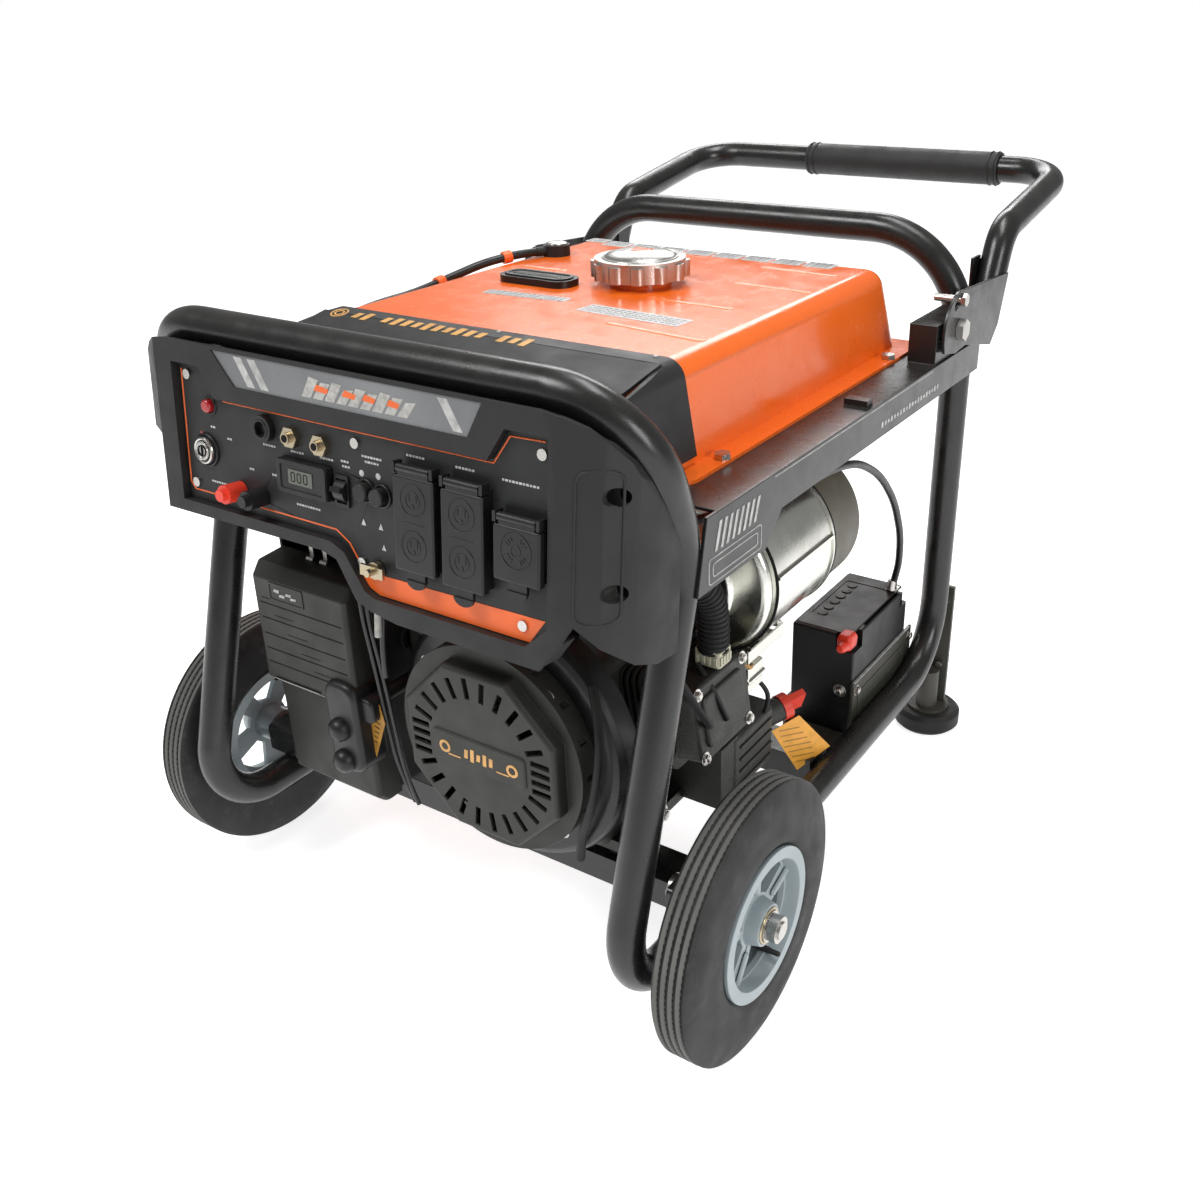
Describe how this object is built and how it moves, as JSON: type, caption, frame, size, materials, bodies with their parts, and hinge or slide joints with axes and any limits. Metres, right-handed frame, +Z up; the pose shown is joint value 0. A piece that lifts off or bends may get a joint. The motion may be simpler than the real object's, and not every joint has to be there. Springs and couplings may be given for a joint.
{
  "type": "portable generator",
  "caption": "Open-frame wheeled portable generator with a petrol engine, alternator, fuel tank, battery, folding tow handle and a front control panel with covered outlets.",
  "frame": {"origin": "on the ground, in the middle of the object's footprint box", "axes": "+Z up, -Y towards the front with the control panel, +X towards the exhaust and battery side"},
  "size_m": [0.672, 1.0304, 0.654],
  "materials": {
    "frame_paint": "satin",
    "tank_paint": "gloss",
    "dark_plastic": "satin",
    "panel_plastic": "matte",
    "plate_face": "satin",
    "socket_plastic": "satin",
    "lamp_red": "gloss",
    "red_plastic": "gloss",
    "zinc": "zinc plated",
    "brass": "satin",
    "cast_alloy": "cast",
    "bright_steel": "polished",
    "black_metal": "satin",
    "steel": "machined",
    "rotor_iron": "machined",
    "rubber": "matte",
    "tyre": "matte",
    "rim_paint": "satin",
    "foam": "matte",
    "battery_case": "satin",
    "cable": "satin"
  },
  "bodies": {
    "chassis": {"front_hoop": "frame_paint", "rear_hoop": "frame_paint", "side_rail_left": "frame_paint", "side_rail_right": "frame_paint", "cross_members": "frame_paint", "wheel_axles": "zinc", "axle_brackets": "frame_paint", "foot_brackets": "frame_paint", "rear_feet": "rubber", "engine_mounts": "rubber", "frame_bolts": "zinc", "panel_bezel": "panel_plastic", "panel_plate": "plate_face", "panel_box": "black_metal", "panel_screws": "zinc", "pilot_lamp": "lamp_red", "panel_sockets": "brass", "digital_meter": "socket_plastic", "outlet_sockets": "socket_plastic", "ground_terminal": "brass", "fuel_tank": "tank_paint", "tank_cover": "dark_plastic", "fuel_gauge": "socket_plastic", "vent_valve": "dark_plastic", "vent_hose": "cable", "crankcase": "cast_alloy", "cylinder": "cast_alloy", "valve_cover": "cast_alloy", "blower_housing": "black_metal", "recoil_cover": "black_metal", "air_cleaner_box": "dark_plastic", "air_cleaner_cover": "dark_plastic", "carburettor": "cast_alloy", "muffler": "bright_steel", "wiring_conduit": "rubber", "alternator_housing": "cast_alloy", "battery": "battery_case", "battery_holder": "frame_paint", "battery_cable": "cable"},
    "tow_handle": {"handle_tube": "frame_paint", "handle_grip": "foam"},
    "left_wheel": {"tyre_left": "tyre", "rim_left": "rim_paint"},
    "right_wheel": {"tyre_right": "tyre", "rim_right": "rim_paint"},
    "left_outlet_cover": {"outlet_cover_left": "socket_plastic"},
    "right_outlet_cover": {"outlet_cover_right": "socket_plastic"},
    "twist_outlet_cover": {"twist_cover": "socket_plastic"},
    "tank_cap": {"fuel_cap": "zinc"},
    "oil_dipstick": {"dipstick": "red_plastic"},
    "start_key": {"key_switch": "steel"},
    "rocker": {"rocker_switch": "socket_plastic"},
    "left_breaker": {"breaker_left": "dark_plastic"},
    "right_breaker": {"breaker_right": "dark_plastic"},
    "red_terminal": {"dc_terminal_red": "red_plastic"},
    "black_terminal": {"dc_terminal_black": "socket_plastic"},
    "starter_grip": {"recoil_grip": "dark_plastic"},
    "fuel_tap": {"fuel_valve": "dark_plastic"},
    "crank_train": {"flywheel": "cast_alloy", "crankshaft": "rotor_iron"}
  },
  "joints": [
    {"name": "handle_fold", "type": "hinge", "parent": "chassis", "child": "tow_handle", "pos_m": [0, 0.115, 0.525], "axis": [1, 0, 0], "range_deg": [-35, 0]},
    {"name": "left_wheel_spin", "type": "hinge", "parent": "chassis", "child": "left_wheel", "pos_m": [-0.299, -0.376, 0.127], "axis": [1, 0, 0], "continuous": true},
    {"name": "right_wheel_spin", "type": "hinge", "parent": "chassis", "child": "right_wheel", "pos_m": [0.299, -0.376, 0.127], "axis": [1, 0, 0], "continuous": true},
    {"name": "left_outlet_flip", "type": "hinge", "parent": "chassis", "child": "left_outlet_cover", "pos_m": [0.083, -0.49401, 0.53404], "axis": [-1, 0, 0], "range_deg": [0, 110]},
    {"name": "right_outlet_flip", "type": "hinge", "parent": "chassis", "child": "right_outlet_cover", "pos_m": [0.13, -0.49423, 0.53205], "axis": [-1, 0, 0], "range_deg": [0, 110]},
    {"name": "twist_outlet_flip", "type": "hinge", "parent": "chassis", "child": "twist_outlet_cover", "pos_m": [0.18, -0.49596, 0.51614], "axis": [-1, 0, 0], "range_deg": [0, 110]},
    {"name": "tank_cap_turn", "type": "hinge", "parent": "chassis", "child": "tank_cap", "pos_m": [0.003, -0.072, 0.59], "axis": [0, 0, 1], "range_deg": [0, 90]},
    {"name": "dipstick_turn", "type": "hinge", "parent": "chassis", "child": "oil_dipstick", "pos_m": [0.20185, -0.13828, 0.17566], "axis": [0.4604, 0.8747, 0.1513], "range_deg": [0, 360]},
    {"name": "start_key_turn", "type": "hinge", "parent": "chassis", "child": "start_key", "pos_m": [-0.161, -0.48999, 0.50443], "axis": [0, 0.9942, -0.108], "range_deg": [0, 90]},
    {"name": "rocker_tilt", "type": "hinge", "parent": "chassis", "child": "rocker", "pos_m": [-0.001, -0.48655, 0.49903], "axis": [1, 0, 0], "range_deg": [0, 28]},
    {"name": "left_breaker_push", "type": "slide", "parent": "chassis", "child": "left_breaker", "axis": [0, 0.9942, -0.108], "range_m": [0, 0.0025], "stiffness_N_per_m": 400},
    {"name": "right_breaker_push", "type": "slide", "parent": "chassis", "child": "right_breaker", "axis": [0, 0.9942, -0.108], "range_m": [0, 0.0025], "stiffness_N_per_m": 400},
    {"name": "red_terminal_turn", "type": "hinge", "parent": "chassis", "child": "red_terminal", "pos_m": [-0.122, -0.49798, 0.47713], "axis": [0, -0.9942, 0.108], "range_deg": [0, 360]},
    {"name": "black_terminal_turn", "type": "hinge", "parent": "chassis", "child": "black_terminal", "pos_m": [-0.095, -0.49798, 0.47713], "axis": [0, -0.9942, 0.108], "range_deg": [0, 360]},
    {"name": "starter_pull", "type": "slide", "parent": "chassis", "child": "starter_grip", "axis": [0, -1, 0], "range_m": [0, 0.6], "stiffness_N_per_m": 15},
    {"name": "fuel_tap_turn", "type": "hinge", "parent": "chassis", "child": "fuel_tap", "pos_m": [-0.066, -0.41, 0.256], "axis": [0, -1, 0], "range_deg": [0, 90]},
    {"name": "crank_spin", "type": "hinge", "parent": "chassis", "child": "crank_train", "pos_m": [0.07, -0.2, 0.248], "axis": [0, 1, 0], "continuous": true}
  ]
}
